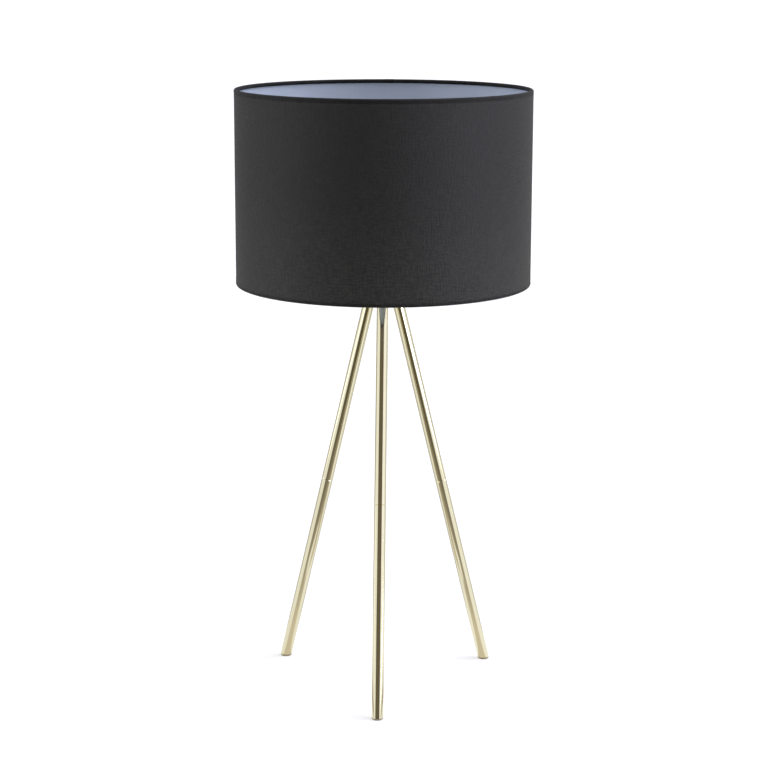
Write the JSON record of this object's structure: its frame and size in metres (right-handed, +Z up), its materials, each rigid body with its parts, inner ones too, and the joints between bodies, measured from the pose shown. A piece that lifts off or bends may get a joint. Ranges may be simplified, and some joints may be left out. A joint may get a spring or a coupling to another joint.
{
  "type": "tripod table lamp",
  "caption": "Table lamp on a tripod of straight brass tube legs, with a black fabric drum shade, pale inside, on a switched lampholder.",
  "frame": {"origin": "on the floor, under the lamp's upright axis, at the middle of the lamp's box", "axes": "+Z up along the lamp's axis; the front leg points to -Y; +X to the right seen from the front"},
  "size_m": [0.3076, 0.3076, 0.6354],
  "materials": {
    "leg_brass": "polished pale brass",
    "hub_brass": "satin pale brass",
    "foot_glide": "moulded",
    "steel": "zinc plated",
    "bare_brass": "turned",
    "gland_plastic": "moulded",
    "holder_plastic": "moulded phenolic",
    "plate_white": "moulded insulator",
    "carrier_white": "white powder coat",
    "wire_steel": "drawn wire",
    "lining": "laminated sheet",
    "cover": "plain woven cotton",
    "nickel": "nickel plated",
    "bulb_body": "moulded",
    "bulb_glass_black": "moulded",
    "board_green": "laminate",
    "board_white": "white solder mask",
    "globe_opal": "opal diffuser"
  },
  "bodies": {
    "stand": {"lower_leg_front": "leg_brass", "lower_leg_right": "leg_brass", "lower_leg_left": "leg_brass", "upper_leg_front": "leg_brass", "upper_leg_right": "leg_brass", "upper_leg_left": "leg_brass", "foot_glide_front": "foot_glide", "foot_glide_right": "foot_glide", "foot_glide_left": "foot_glide", "leg_joint_bushes": "bare_brass", "leg_top_inserts": "bare_brass", "leg_joint_studs": "steel", "hub_studs": "steel", "hub": "hub_brass", "threaded_nipple": "steel", "lock_washer": "steel", "lock_nut": "steel", "cord_gland": "gland_plastic", "holder_cap": "holder_plastic", "holder_skirt": "holder_plastic", "terminal_plate": "plate_white", "terminal_screws": "bare_brass", "screw_shell": "bare_brass", "centre_contact": "bare_brass", "switch_block": "plate_white", "shade_ring_nut": "holder_plastic", "bulb_contact": "nickel", "bulb_insulator": "bulb_glass_black", "bulb_cap": "nickel", "bulb_housing": "bulb_body", "bulb_driver": "board_green", "bulb_led_board": "board_white", "bulb_globe": "globe_opal"},
    "switch_knob": {"switch_shaft": "steel", "switch_knob": "holder_plastic"},
    "shade": {"carrier_ring": "carrier_white", "carrier_arms": "carrier_white", "bottom_wire": "wire_steel", "top_wire": "wire_steel", "shade_lining": "lining", "shade_cover": "cover"}
  },
  "joints": [
    {"name": "switch_turn", "type": "hinge", "parent": "stand", "child": "switch_knob", "pos_m": [0, 0.02, 0.45239], "axis": [0, 1, 0], "continuous": true},
    {"name": "shade_swivel", "type": "hinge", "parent": "stand", "child": "shade", "pos_m": [0, 0, 0.46439], "axis": [0, 0, 1], "continuous": true}
  ]
}
